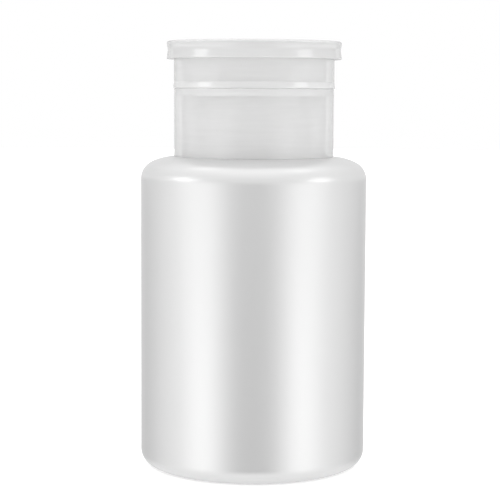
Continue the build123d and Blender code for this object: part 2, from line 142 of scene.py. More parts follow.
class ClosureSizes(bpy.types.PropertyGroup):
    """The screw collar and the tray ring on it."""

    foot_gap: size("Foot gap", "Gap between the collar and the bottle's land", 0.02)
    flange_top_z: size("Flange height", "Height of the pump's flange, which the collar holds down", 98.9)
    plate_t: size("Plate", "Thickness of the collar's plate", 1.6)
    plate_hole_r: size("Plate hole", "Radius of the hole for the button", 10.1)
    sleeve_wall: size("Sleeve wall", "Thickness of the threaded sleeve", 1.4)
    sleeve_lift: size("Sleeve lift", "Height of the sleeve's end over the collar's", 1.2)
    channel_w: size("Channel", "Width between the sleeve and the outer wall", 3.75)
    channel_round: size("Channel rounding", "Rounding at the top of the channel", 1.0)
    outer_wall: size("Outer wall", "Thickness of the outer wall", 2.1)
    web_t: size("Web", "Thickness of a radial web", 1.3)
    web_h: size("Web height", "Height of a radial web", 5.5)
    web_gap: size("Web gap", "Hairline between a web and the outer wall", 0.03)
    web_count: amount("Webs", "Radial webs between the walls", 6)
    edge_r: size("Edge rounding", "Rounding of the moulded edges", 0.25)
    ring_step: size("Ring step", "How far the ring stands out over the collar", 0.09)
    ring_wall: size("Ring wall", "Thickness of the tray ring's wall", 2.18)
    ring_h: size("Ring height", "Height of the tray ring over the plate", 10.5)
    bead_out: size("Bead", "How far the ring's foot bead stands out", 0.16)
    bead_h: size("Bead height", "Height of the foot bead", 0.4)
    bead_flare: size("Bead flare", "Height over which the wall flares into the foot bead", 1.1)
    floor_t: size("Tray floor", "Thickness of the tray's floor", 0.9)
    fall: size("Tray fall", "Fall of the floor towards the button", 0.25)
    tray_round: size("Tray rounding", "Rounding between the floor and the wall", 1.5)
    weir_h: size("Weir height", "Height of the rim round the button's hole", 1.2)
    weir_wall: size("Weir wall", "Thickness of that rim", 0.8)
    button_gap: size("Button gap", "Gap between the button and the tray", 0.3)
    tongue_t: size("Tongue", "Thickness of the tongue that keys into the collar", 1.0)
    tongue_h: size("Tongue height", "Depth of the tongue", 2.0)
    tongue_inset: size("Tongue inset", "How far the tongue stands in from the collar's side", 0.5)
    rim_round: size("Rim rounding", "Rounding of the ring's top edge", 0.4)
    thick_z: size("Thick foot", "Height under which the tray's floor is seen edge-on", 101.9)


class LidSizes(bpy.types.PropertyGroup):
    """The flip lid and its hinge."""

    gap: size("Gap", "Gap between the lid and the ring's rim", 0.1)
    skirt_gap: size("Skirt gap", "Gap between the skirt and the ring", 0.22)
    skirt_wall: size("Skirt wall", "Thickness of the skirt", 1.65)
    skirt_h: size("Skirt height", "Height of the skirt under the plate", 3.0)
    plate_t: size("Plate", "Thickness of the lid's plate", 1.7)
    waist_in: size("Waist", "How far the skirt's waist is drawn in", 0.28)
    waist_h: size("Waist height", "Height of the waist over the lip", 2.6)
    waist_round: size("Waist rounding", "Rounding of the waist", 2.8)
    lip_out: size("Lip", "How far the lip stands out", 0.06)
    edge_r: size("Edge rounding", "Rounding of the lid's top edge", 0.5)
    rim_w: size("Rim width", "Width of the raised rim on the top", 1.5)
    recess: size("Recess", "Depth of the top inside that rim", 0.45)
    plug_gap: size("Plug gap", "Gap between the plug ring and the well", 0.56)
    plug_wall: size("Plug wall", "Thickness of the plug ring", 1.2)
    plug_h: size("Plug height", "Depth of the plug ring", 1.6)
    hinge_out: size("Hinge offset", "Distance of the hinge's axis from the lid's side", 1.2)
    hinge_drop: size("Hinge drop", "Drop of the hinge's axis under the plate", 1.9)
    ear_r: size("Ear radius", "Radius of an ear and of the knuckle", 1.7)
    ear_t: size("Ear", "Thickness of an ear", 2.6)
    ear_gap: size("Ear gap", "Gap between an ear and the knuckle", 0.3)
    ear_bury: size("Ear root", "Depth of an ear's root in the ring's wall", 0.45)
    ear_gusset: size("Ear gusset", "Height of the gusset under an ear", 3.0)
    knuckle_w: size("Knuckle", "Width of the lid's knuckle", 6.6)
    knuckle_cover_t: size("Knuckle cover", "Thickness of the cover over the knuckle", 1.2)
    knuckle_back_r: size("Knuckle back", "Chamfer at the knuckle's back", 0.7)
    pin_r: size("Pin radius", "Radius of a hinge pin", 1.0)
    pin_gap: size("Pin gap", "Clearance round a hinge pin", 0.08)
    pin_end_gap: size("Pin end", "How far a pin's end stays inside the ear", 0.2)
    notch_gap: size("Notch gap", "Gap between the skirt's notch and an ear", 0.4)
    gate_r: size("Gate mark", "Radius of the moulding gate's mark on the top", 0.9)
    gate_depth: size("Gate depth", "Depth of that mark", 0.15)
    # inside this radius the lid's colour is made darker, as painted shade
    etched_r: size("Darkened radius", "Radius inside which the lid's mould is etched", 21.3)


class ButtonSizes(bpy.types.PropertyGroup):
    """The press button, its nozzle, the return spring and the gasket."""

    button_r: size("Button radius", "Radius of the button", 9.6)
    skirt_wall: size("Skirt wall", "Thickness of the button's skirt", 1.0)
    top_t: size("Top", "Thickness of the button's top", 1.1)
    dish_drop: size("Dish", "Depth of the dished top", 0.85)
    edge_r: size("Edge rounding", "Rounding of the button's edge", 0.5)
    hub_wall: size("Hub wall", "Thickness of the hub", 1.55)
    stem_r: size("Stem radius", "Radius of the stem that the hub grips", 2.6)
    press_gap: size("Press gap", "Gap of a press fit", 0.04)
    nozzle_r: size("Nozzle radius", "Radius of the nozzle disc", 3.0)
    nozzle_t: size("Nozzle", "Thickness of the nozzle disc", 1.0)
    nozzle_lift: size("Nozzle lift", "How far the nozzle stands over the dish", 0.1)
    nozzle_room_r: size("Nozzle room", "Radius of the room under the nozzle", 2.4)
    nozzle_floor_gap: size("Nozzle room height", "Height of that room", 1.0)
    post_r: size("Post radius", "Radius of the nozzle's post", 0.8)
    post_gap: size("Post gap", "Gap between the post and the stem's top", 0.08)
    hole_r: size("Hole radius", "Radius of an outlet hole", 0.4)
    hole_ring_r: size("Hole ring", "Radius of the ring of outlet holes", 1.9)
    holes: amount("Holes", "Outlet holes in the nozzle", 6)
    stroke: size("Stroke", "Travel of the button", 4.5)
    wire_r: size("Wire radius", "Radius of the spring's wire", 0.375)
    coil_r: size("Coil radius", "Mean radius of the spring", 4.1)
    coils: amount("Coils", "Turns of the spring", 7.0)
    dead_coils: amount("Closed coils", "Closed turns at each end", 0.75)
    gasket_bore_r: size("Gasket bore", "Radius of the hole in the foam washer", 10.8)
    gasket_edge_r: size("Gasket rounding", "Rounding of the foam washer's edges", 0.2)


class Finishes(bpy.types.PropertyGroup):
    """Colours of the materials."""

    pearl: tint("Pearl", "Pearl polyethylene of the bottle", "DDDDDD")
    clear: tint("Natural polypropylene", "Translucent collar and tray ring", "FFFFFF")
    lid: tint("Lid polypropylene", "Translucent lid, a shade denser", "F8F8F8")
    pump: tint("Pump polypropylene", "Milky inner parts", "FCFCFA")
    seal: tint("Elastomer", "Wiper ring and piston", "CFCFC8")
    foam: tint("Foam", "Gasket", "F2F2F0")
    steel: tint("Steel", "Spring wire and valve balls", "B9BBBE")
    floor: tint("Floor", "Studio floor", "F4F4F4")


class StudioSettings(bpy.types.PropertyGroup):
    """The camera and the light."""

    aim_z: size("Aim height", "Height that the camera looks at", 57.45)
    distance: size("Distance", "Distance of the camera from that point", 433.5)
    tilt: angle("Tilt", "How far the camera looks down", 5.5)
    roll: angle("Roll", "Turn of the camera about its axis", 0.3)
    lens: FloatProperty(name="Lens", description="Focal length in millimetres", default=116.6)
    sensor: FloatProperty(name="Sensor", description="Width of the sensor in millimetres", default=36.0)
    shift: FloatProperty(name="Shift", description="Sideways shift, as a share of the frame", default=-0.0065)
    floor_r: size("Floor radius", "Radius of the studio floor", 2500.0)


# Outlines and meshes

# two faces that meet at more than this keep a crisp edge
crisp_angle = math.radians(33)
# share of a thread ridge's height that the edges of its crest are rounded by
crest_round = 0.15


def arc(centre, radius, start, sweep, step=math.radians(7)):
    """Points of an arc in the (radius, height) plane. Angles are in radians from the outward direction."""
    count = max(3, math.ceil(abs(sweep) / step))
    angles = [start + sweep * index / count for index in range(count + 1)]
    return [(centre[0] + radius * math.cos(a), centre[1] + radius * math.sin(a)) for a in angles]


def rounded(*corners):
    """Points of a closed outline from its corners (radius, height) or (radius, height, rounding)."""
    points = []
    for index, corner in enumerate(corners):
        here = Vector(corner[:2])
        if len(corner) == 2:
            points.append(tuple(here))
            continue
        back = (Vector(corners[index - 1][:2]) - here).normalized()
        ahead = (Vector(corners[(index + 1) % len(corners)][:2]) - here).normalized()
        half = back.angle(ahead) / 2
        centre = here + (back + ahead).normalized() * (corner[2] / math.sin(half))
        first = here + back * (corner[2] / math.tan(half)) - centre
        turn = math.copysign(math.pi - 2 * half, back.x * ahead.y - back.y * ahead.x)
        points += arc(centre, corner[2], math.atan2(first.y, first.x), -turn)
    return points


def braced(points, margin):
    """The same outline with a point near both ends of each long run, which keeps its shading flat."""
    result = []
    for index, here in enumerate(points):
        result.append(here)
        start, end = Vector(here), Vector(points[(index + 1) % len(points)])
        run = end - start
        if run.length > 5 * margin:
            step = run.normalized() * margin
            result += [tuple(start + step), tuple(end - step)]
    return result


def smooth(mesh):
    """Shades the mesh smooth, but for its crisp edges."""
    mesh.shade_smooth()
    mesh.set_sharp_from_angle(angle=crisp_angle)


def make_object(name, mesh):
    """A smooth-shaded object in the scene."""
    smooth(mesh)
    obj = bpy.data.objects.new(name, mesh)
    bpy.context.scene.collection.objects.link(obj)
    return obj


def close_faces(work, name):
    """A mesh from the bmesh, with its faces turned outwards."""
    bmesh.ops.recalc_face_normals(work, faces=work.faces)
    mesh = bpy.data.meshes.new(name)
    work.to_mesh(mesh)
    work.free()
    return mesh


def circle(radius, height, steps, centre_x=0.0):
    """Points of a level circle round an upright axis."""
    angles = [math.tau * step / steps for step in range(steps)]
    return [(centre_x + radius * math.cos(a), radius * math.sin(a), height) for a in angles]


def turned(name, points, steps=144, margin=0.1 * mm):
    """An outline turned round the Z axis. Points on the axis become one vertex."""
    work = bmesh.new()
    rings = []
    for radius, height in braced(points, margin):
        if radius < margin / 100:
            rings.append([work.verts.new((0, 0, height))])
            continue
        rings.append([work.verts.new(point) for point in circle(radius, height, steps)])
    for ring, after in zip(rings, rings[1:] + rings[:1]):
        for step in range(steps):
            ahead = (step + 1) % steps
            corners = [(ring, step), (ring, ahead), (after, ahead), (after, step)]
            corners = list(dict.fromkeys(loop[at % len(loop)] for loop, at in corners))
            if len(corners) > 2:
                work.faces.new(corners)
    return make_object(name, close_faces(work, name))


def tube(name, rings):
    """A closed skin over rings of points, with a flat face at both ends."""
    work = bmesh.new()
    loops = [[work.verts.new(point) for point in ring] for ring in rings]
    for loop, after in zip(loops, loops[1:]):
        for index in range(len(loop)):
            ahead = (index + 1) % len(loop)
            work.faces.new([loop[index], loop[ahead], after[ahead], after[index]])
    work.faces.new(loops[0][::-1])
    work.faces.new(loops[-1])
    return make_object(name, close_faces(work, name))


def ridge(name, thread, wall_r, inward, turns, start_z, steps_in_turn=96):
    """The thread's helical ridge on a wall. Both of its ends fade into the wall."""
    side = -1 if inward else 1
    rings = []
    stations = round(turns * steps_in_turn)
    for station in range(stations + 1):
        turn = station / steps_in_turn
        fade = min(1.0, turn / thread.run_out, (turns - turn) / thread.run_out)
        ease = fade * fade * (3 - 2 * fade)
        height = (thread.depth + thread.bury) * ease - thread.bury
        slope = (thread.root_w - thread.crest_w) / 2 / thread.depth
        soft = crest_round * (height + thread.bury)
        half_root = thread.root_w / 2 + slope * thread.bury
        half_crest = half_root - slope * (height + thread.bury)
        section = [
            (-thread.bury, -half_root),
            (height - soft, -half_crest - slope * soft),
            (height, -half_crest + slope * soft),
            (height, half_crest - slope * soft),
            (height - soft, half_crest + slope * soft),
            (-thread.bury, half_root),
        ]
        a = math.tau * turn
        z = start_z + thread.pitch * turn
        ring = []
        for out, up in section:
            radius = wall_r + side * out
            ring.append((radius * math.cos(a), radius * math.sin(a), z + up))
        rings.append(ring)
    return tube(name, rings)


def slab(name, outline, width, centre_x=0.0, bevel=0.0):
    """An outline of (y, z) points, thickened along X, with its edges bevelled."""
    work = bmesh.new()
    sides = [[work.verts.new((centre_x + side * width / 2, y, z)) for y, z in outline] for side in (-1, 1)]
    for index in range(len(outline)):
        ahead = (index + 1) % len(outline)
        work.faces.new([sides[0][index], sides[0][ahead], sides[1][ahead], sides[1][index]])
    work.faces.new(sides[0][::-1])
    work.faces.new(sides[1])
    if bevel:
        bmesh.ops.bevel(work, geom=work.edges[:], offset=bevel, segments=2, affect="EDGES", profile=0.5)
    return make_object(name, close_faces(work, name))


def rod_across(name, radius, width, y, z, centre_x=0.0, edge=0.1 * mm, steps=48):
    """A round rod along X, with a small chamfer at both ends."""
    half = width / 2
    ends = [(-half, radius - edge), (edge - half, radius), (half - edge, radius), (half, radius - edge)]
    rings = []
    for x, r in ends:
        angles = [math.tau * step / steps for step in range(steps)]
        rings.append([(centre_x + x, y + r * math.cos(a), z + r * math.sin(a)) for a in angles])
    return tube(name, rings)


def joined(obj, tools, operation):
    """Adds the tool objects to obj, or cuts them from it. The tools are used up."""
    for tool in tools:
        modifier = obj.modifiers.new(operation, "BOOLEAN")
        modifier.operation = operation
        modifier.solver = "EXACT"
        modifier.object = tool
    depsgraph = bpy.context.evaluated_depsgraph_get()
    mesh = bpy.data.meshes.new_from_object(obj.evaluated_get(depsgraph))
    obj.modifiers.clear()
    obj.data = mesh
    for tool in tools:
        bpy.data.objects.remove(tool)
    smooth(mesh)


def place(obj, body, node, slot_name, material):
    """Gives a finished piece its material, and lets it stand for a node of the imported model."""
    obj.data.materials.clear()
    obj.data.materials.append(material)
    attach(obj, body)
    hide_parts(node)


def around(count):
    """Turns about the Z axis, evenly spaced, starting at the front."""
    return [Matrix.Rotation(math.tau * index / count, 4, "Z") for index in range(count)]


# Materials


def add(tree, kind, settings=None, links=None):
    """Adds a node. Settings are properties or input values, and links are sockets, by the input's name.

    Inputs that share a name go by number. A Mix node has its share at 0, its two numbers at 2 and 3, and its
    two colours at 6 and 7, and gives a number at 0 and a colour at 2.
    """
    node = tree.nodes.new(kind)
    for key, value in (settings or {}).items():
        if isinstance(key, int) or key in node.inputs:
            node.inputs[key].default_value = value
        else:
            setattr(node, key, value)
    for key, source in (links or {}).items():
        tree.links.new(source, node.inputs[key])
    return node


def blank_material(name):
    """A material that has no shader yet, its nodes and its object coordinates."""
    material = bpy.data.materials.new(name)
    material.use_nodes = True
    tree = material.node_tree
    tree.nodes.clear()
    return material, tree, add(tree, "ShaderNodeTexCoord").outputs["Object"]


def solid_material(name, settings):
    """A material with one Principled shader, set as given, its nodes and its object coordinates."""
    material, tree, where = blank_material(name)
    shader = add(tree, "ShaderNodeBsdfPrincipled", settings)
    add(tree, "ShaderNodeOutputMaterial", links={"Surface": shader.outputs["BSDF"]})
    return material, tree, shader, where


def per(millimetres):
    """The texture scale at which one feature is as large as given."""
    return 1 / (millimetres * mm)


# the part of a noise's values in which it varies most
noise_span = {"From Min": 0.3, "From Max": 0.7}
# a change that eases in and out
eased = {"interpolation_type": "SMOOTHSTEP"}


def pearl_polyethylene(colours):
    """Blow-moulded HDPE with pearl pigment: flakes lie along the wall and give a soft metal-like band."""
    material, tree, shader, where = solid_material(
        "pearl_hdpe_blow_moulded",
        {
            "Metallic": 0.45,
            "IOR": 1.54,
            "Specular Tint": (0.75, 0.75, 0.75, 1.0),
            "Coat Weight": 0.12,
            "Coat Roughness": 0.18,
        },
    )
    # flow of the pigment: long faint streaks up the wall, about 9 mm apart
    upright = add(tree, "ShaderNodeMapping", {"Scale": (1.0, 1.0, 0.12)}, {"Vector": where})
    upright = {"Vector": upright.outputs["Vector"]}
    flow = add(tree, "ShaderNodeTexNoise", {"Scale": per(9.0), "Detail": 3.0}, upright).outputs["Fac"]
    shade = {"data_type": "RGBA", 6: shaded(colours.pearl, 0.965), 7: tuple(colours.pearl)}
    shade = add(tree, "ShaderNodeMix", shade, {0: flow}).outputs[2]
    tree.links.new(shade, shader.inputs["Base Color"])
    # pigment flakes of about 0.1 mm, drawn at 0.35 mm so that they show
    flakes = add(tree, "ShaderNodeTexNoise", {"Scale": per(0.35), "Detail": 2.0}, {"Vector": where})
    flakes = flakes.outputs["Fac"]
    gloss = noise_span | {"To Min": 0.33, "To Max": 0.39}
    gloss = add(tree, "ShaderNodeMapRange", gloss, {"Value": flakes}).outputs["Result"]
    tree.links.new(gloss, shader.inputs["Roughness"])
    # a blow-moulded wall waves a little: 14 mm swells and fine flakes
    swell = add(tree, "ShaderNodeTexNoise", {"Scale": per(14.0), "Detail": 1.0}, {"Vector": where})
    wavy = {"Strength": 0.25, "Distance": 0.04 * mm}
    wavy = add(tree, "ShaderNodeBump", wavy, {"Height": swell.outputs["Fac"]}).outputs["Normal"]
    flaky = {"Strength": 0.2, "Distance": 0.006 * mm}
    flaky = add(tree, "ShaderNodeBump", flaky, {"Height": flakes, "Normal": wavy}).outputs["Normal"]
    tree.links.new(flaky, shader.inputs["Normal"])
    return material


# natural polypropylene: the share of light that a face scatters where the plastic is thick, the part of that
# light which goes on through the wall, the tone of a wall crossed at a glance, and the tone of painted shade
# on the lid's plate
thick_haze = 0.88
onward_share = 0.33
glancing_tone = 0.8
painted_shade_tone = 0.89


def moulded_polypropylene(name, colour, haze, roughness, etched_r=0.0, thick_z=0.0):
    """Injection-moulded natural PP: a glossy skin on a hazy body, which passes light straight and scattered.

    Inside the given radius of the axis the colour is made a little darker: painted shade on the lid's plate.
    Under thick_z a floor is seen edge-on, which is a thick section and so a hazier one.
    """
    material, tree, where = blank_material(name)
    # shrinkage ripples of the skin, about 3 mm
    ripple = add(tree, "ShaderNodeTexNoise", {"Scale": per(3.0), "Detail": 2.0}, {"Vector": where})
    skin = {"Strength": 0.3, "Distance": 0.02 * mm}
    skin = add(tree, "ShaderNodeBump", skin, {"Height": ripple.outputs["Fac"]}).outputs["Normal"]
    # faint streaks that run round the wall where the melt flowed, about 12 mm long and 1 mm high
    flat = add(tree, "ShaderNodeMapping", {"Scale": (1.0, 1.0, 12.0)}, {"Vector": where})
    flat = {"Vector": flat.outputs["Vector"]}
    flow = add(tree, "ShaderNodeTexNoise", {"Scale": per(12.0), "Detail": 3.0}, flat).outputs["Fac"]
    gloss = noise_span | {"To Min": roughness * 0.8, "To Max": roughness * 1.2}
    gloss = add(tree, "ShaderNodeMapRange", gloss, {"Value": flow}).outputs["Result"]
    cloud = noise_span | {"To Min": haze * 0.98, "To Max": haze * 1.02}
    cloud = add(tree, "ShaderNodeMapRange", cloud, {"Value": flow}).outputs["Result"]
    if thick_z:
        height = add(tree, "ShaderNodeSeparateXYZ", links={"Vector": where}).outputs["Z"]
        under = eased | {"From Min": thick_z + 0.5 * mm, "From Max": thick_z}
        under = add(tree, "ShaderNodeMapRange", under, {"Value": height}).outputs["Result"]
        cloud = add(tree, "ShaderNodeMix", {3: thick_haze}, {0: under, 2: cloud}).outputs[0]
    # light that crosses the wall at a glance goes a longer way through it, so the wall looks denser there
    facing = add(tree, "ShaderNodeLayerWeight", {"Blend": 0.5}, {"Normal": skin}).outputs["Facing"]
    longer = add(tree, "ShaderNodeMath", {"operation": "POWER", 1: 3.0}, {0: facing}).outputs[0]
    shade = {"data_type": "RGBA", 6: tuple(colour), 7: shaded(colour, glancing_tone)}
    shade = add(tree, "ShaderNodeMix", shade, {0: longer}).outputs[2]
    # painted shade: the lid's plate inside the radius is given a darker colour
    if etched_r:
        level = {"operation": "MULTIPLY", 1: (1.0, 1.0, 0.0)}
        level = add(tree, "ShaderNodeVectorMath", level, {0: where}).outputs["Vector"]
        out = add(tree, "ShaderNodeVectorMath", {"operation": "LENGTH"}, {0: level}).outputs["Value"]
        etched = eased | {"From Min": etched_r, "From Max": etched_r - 0.2 * mm}
        etched = add(tree, "ShaderNodeMapRange", etched, {"Value": out}).outputs["Result"]
        tone = {"data_type": "RGBA", "blend_type": "MULTIPLY", 7: (painted_shade_tone,) * 3 + (1.0,)}
        shade = add(tree, "ShaderNodeMix", tone, {0: etched, 6: shade}).outputs[2]
    straight = add(tree, "ShaderNodeBsdfTransparent", links={"Color": shade})
    back = add(tree, "ShaderNodeBsdfDiffuse", links={"Color": shade, "Normal": skin})
    onward = add(tree, "ShaderNodeBsdfTranslucent", links={"Color": shade, "Normal": skin})
    scattered = {1: back.outputs["BSDF"], 2: onward.outputs["BSDF"]}
    scattered = add(tree, "ShaderNodeMixShader", {0: onward_share}, scattered)
    body = {0: cloud, 1: straight.outputs["BSDF"], 2: scattered.outputs["Shader"]}
    body = add(tree, "ShaderNodeMixShader", links=body)
    # each face of a smooth clear wall mirrors 4 % head on and more at a glance, and the next face adds to it
    glance = add(tree, "ShaderNodeMath", {"operation": "POWER", 1: 5.0}, {0: facing}).outputs[0]
    mirrored = {"To Min": 0.06, "To Max": 0.6}
    mirrored = add(tree, "ShaderNodeMapRange", mirrored, {"Value": glance}).outputs["Result"]
    sheen = add(tree, "ShaderNodeBsdfGlossy", links={"Roughness": gloss, "Normal": skin})
    whole = {0: mirrored, 1: body.outputs["Shader"], 2: sheen.outputs["BSDF"]}
    whole = add(tree, "ShaderNodeMixShader", links=whole)
    add(tree, "ShaderNodeOutputMaterial", links={"Surface": whole.outputs["Shader"]})
    return material


def moulded_elastomer(colours):
    """Moulded thermoplastic elastomer: soft, dull and slightly milky."""
    milky = {"IOR": 1.45, "Subsurface Weight": 0.3, "Subsurface Scale": 1.0 * mm}
    material, tree, shader, where = solid_material("elastomer_moulded", milky)
    # clouds of about 1.2 mm in the mix
    cloud = add(tree, "ShaderNodeTexNoise", {"Scale": per(1.2), "Detail": 3.0}, {"Vector": where})
    cloud = cloud.outputs["Fac"]
    shade = {"data_type": "RGBA", 6: shaded(colours.seal, 0.9), 7: tuple(colours.seal)}
    shade = add(tree, "ShaderNodeMix", shade, {0: cloud}).outputs[2]
    tree.links.new(shade, shader.inputs["Base Color"])
    gloss = add(tree, "ShaderNodeMapRange", {"To Min": 0.45, "To Max": 0.6}, {"Value": cloud})
    tree.links.new(gloss.outputs["Result"], shader.inputs["Roughness"])
    return material


def closed_cell_foam(colours):
    """Die-cut polyethylene foam: fine closed cells of about 0.3 mm over a matt white skin."""
    material, tree, shader, where = solid_material("pe_foam_die_cut", {"Roughness": 0.85, "IOR": 1.45})
    cells = add(tree, "ShaderNodeTexVoronoi", {"Scale": per(0.3)}, {"Vector": where}).outputs["Distance"]
    shade = {"data_type": "RGBA", 6: tuple(colours.foam), 7: shaded(colours.foam, 0.86)}
    shade = add(tree, "ShaderNodeMix", shade, {0: cells}).outputs[2]
    tree.links.new(shade, shader.inputs["Base Color"])
    pits = {"Strength": 0.5, "Distance": 0.08 * mm, "invert": True}
    pits = add(tree, "ShaderNodeBump", pits, {"Height": cells}).outputs["Normal"]
    tree.links.new(pits, shader.inputs["Normal"])
    return material


def drawn_steel(name, colour, roughness):
    """Stainless steel, drawn into wire or ground into balls: bright, with marks of about 0.2 mm."""
    bright = {"Base Color": tuple(colour), "Metallic": 1.0}
    material, tree, shader, where = solid_material(name, bright)
    marks = add(tree, "ShaderNodeTexNoise", {"Scale": per(0.2), "Detail": 4.0}, {"Vector": where})
    gloss = {"To Min": roughness * 0.6, "To Max": roughness * 1.4}
    gloss = add(tree, "ShaderNodeMapRange", gloss, {"Value": marks.outputs["Fac"]}).outputs["Result"]
    tree.links.new(gloss, shader.inputs["Roughness"])
    return material


# the finishes made so far
made_finishes = {}


def finish(kind):
    """A finish by name. Each is made once and shared by the pieces that have it."""
    scene = bpy.context.scene
    colours = scene.remover_finishes
    thick_z, etched_r = scene.remover_closure.thick_z, scene.remover_lid.etched_r
    natural = {"haze": 0.6, "roughness": 0.1}
    milky = {"haze": 0.9, "roughness": 0.2}
    plastic = moulded_polypropylene
    makers = {
        "pearl": lambda: pearl_polyethylene(colours),
        "collar": lambda: plastic("natural_pp_moulded", colours.clear, **natural),
        "tray": lambda: plastic("natural_pp_tray_moulded", colours.clear, **natural, thick_z=thick_z),
        "lid": lambda: plastic("natural_pp_lid_moulded", colours.lid, **natural, etched_r=etched_r),
        "pump": lambda: plastic("milky_pp_moulded", colours.pump, **milky),
        "seal": lambda: moulded_elastomer(colours),
        "foam": lambda: closed_cell_foam(colours),
        "wire": lambda: drawn_steel("steel_wire_drawn", colours.steel, roughness=0.3),
        "ball": lambda: drawn_steel("steel_ball_ground", colours.steel, roughness=0.12),
    }
    if kind not in made_finishes:
        made_finishes[kind] = makers[kind]()
    return made_finishes[kind]


# Pieces


def bottle_half(s, inset, neck_r, root_r):
    """The bottle's outline from the axis at the base up to the foot of the neck's straight wall."""
    side = s.body_r - inset
    turn = s.base_corner_r - inset
    foot = s.body_r - s.base_corner_r - s.foot_w
    crown = (foot**2 + s.push_up**2) / (2 * s.push_up)
    spread = math.asin(foot / crown)
    land_z = s.shoulder_z - inset
    dome, corner = s.dome_r - inset, s.corner_r - inset
    dome_z = land_z - dome
    reach = side - corner - s.land_r
    corner_z = dome_z + math.sqrt((dome - corner) ** 2 - reach**2)
    lean = math.asin(reach / (dome - corner))
    quarter = math.pi / 2
    points = arc((0.0, s.push_up + inset - crown), crown, quarter, -spread, step=math.radians(0.8))
    points += arc((side - turn, inset + turn), turn, -quarter, quarter)
    points += arc((side - corner, corner_z), corner, 0.0, quarter - lean)
    points += arc((s.land_r, dome_z), dome, quarter - lean, lean, step=math.radians(2))[1:]
    points += arc((neck_r + root_r, land_z + root_r), root_r, -quarter, -quarter)
    return points


class REMOVER_OT_bottle(bpy.types.Operator):
    """Makes the pearl bottle with its threaded neck"""

    bl_idname = "remover.bottle"
    bl_label = "Bottle"

    def execute(self, context):
        s, thread = context.scene.remover_bottle, context.scene.remover_thread
        neck_r = s.neck_bore_r + s.neck_wall
        top_z = s.shoulder_z + s.neck_h
        outside = bottle_half(s, 0.0, neck_r, s.neck_root_r)
        inside = bottle_half(s, s.wall, s.neck_bore_r, s.neck_root_r + s.wall)
        quarter = math.pi / 2
        rim = arc((neck_r - s.rim_r, top_z - s.rim_r), s.rim_r, 0.0, quarter)
        rim += arc((s.neck_bore_r + s.rim_r, top_z - s.rim_r), s.rim_r, quarter, quarter)
        shell = turned("bottle", outside + rim + inside[::-1])
        thread_z = s.shoulder_z + thread.neck_rise
        neck_thread = ridge("thread", thread, neck_r, inward=False, turns=thread.neck_turns, start_z=thread_z)
        joined(shell, [neck_thread], "UNION")
        place(shell, "bottle", "bottle_body", "pearl_bottle", finish("pearl"))
        return {"FINISHED"}


def collar_radii(scene):
    """Radii of the collar: its threaded bore, the sleeve's outside, the outer wall's inside and its side."""
    bottle, thread, s = scene.remover_bottle, scene.remover_thread, scene.remover_closure
    bore_r = bottle.neck_bore_r + bottle.neck_wall + thread.depth + thread.gap
    sleeve_r = bore_r + s.sleeve_wall
    channel_r = sleeve_r + s.channel_w
    return bore_r, sleeve_r, channel_r, channel_r + s.outer_wall


def ring_radii(scene):
    """Radii of the tray ring: its side, and the well in it."""
    side_r = collar_radii(scene)[-1] + scene.remover_closure.ring_step
    return side_r, side_r - scene.remover_closure.ring_wall


def hinge_axis(scene):
    """How far behind the bottle's axis the lid's hinge is, and how high."""
    s, lid = scene.remover_closure, scene.remover_lid
    lid_r = ring_radii(scene)[0] + lid.skirt_gap + lid.skirt_wall
    plate_z = s.flange_top_z + s.plate_t + s.ring_h + lid.gap
    return lid_r + lid.hinge_out, plate_z - lid.hinge_drop


class REMOVER_OT_collar(bpy.types.Operator):
    """Makes the double-walled screw collar"""

    bl_idname = "remover.collar"
    bl_label = "Screw collar"

    def execute(self, context):
        bottle, thread = context.scene.remover_bottle, context.scene.remover_thread
        s = context.scene.remover_closure
        low_z = bottle.shoulder_z + s.foot_gap
        plate_z = s.flange_top_z
        top_z = plate_z + s.plate_t
        bore_r, sleeve_r, channel_r, outer_r = collar_radii(context.scene)
        groove_out = outer_r - s.tongue_inset + s.edge_r / 6
        groove_in = groove_out - s.tongue_t - s.edge_r / 3
        groove_z = top_z - s.tongue_h - s.edge_r / 2
        outline = rounded(
            (s.plate_hole_r, plate_z, s.edge_r / 2),
            (bore_r, plate_z, s.edge_r),
            (bore_r, low_z + s.sleeve_lift, s.edge_r),
            (sleeve_r, low_z + s.sleeve_lift, s.edge_r),
            (sleeve_r, plate_z, s.channel_round),
            (channel_r, plate_z, s.channel_round),
            (channel_r, low_z, s.edge_r),
            (outer_r, low_z, s.edge_r / 6),
            (outer_r, top_z, s.edge_r),
            (groove_out, top_z, s.edge_r / 3),
            (groove_out, groove_z, s.edge_r / 2),
            (groove_in, groove_z, s.edge_r / 2),
            (groove_in, top_z, s.edge_r / 3),
            (s.plate_hole_r, top_z, s.edge_r / 2),
        )
        collar = turned("collar", outline)
        thread_z = bottle.shoulder_z + thread.neck_rise + thread.pitch / 2
        tools = [ridge("thread", thread, bore_r, inward=True, turns=thread.collar_turns, start_z=thread_z)]
        overlap = thread.bury
        web = [
            (-sleeve_r + overlap, plate_z - s.web_h),
            (-channel_r + s.web_gap, plate_z - s.web_h),
            (-channel_r + s.web_gap, plate_z + overlap),
            (-sleeve_r + overlap, plate_z + overlap),
        ]
        for turn in around(s.web_count):
            piece = slab("web", web, s.web_t, bevel=s.edge_r / 2)
            piece.data.transform(turn)
            tools.append(piece)
        joined(collar, tools, "UNION")
        place(collar, "closure", "screw_collar", "clear_cap", finish("collar"))
        return {"FINISHED"}


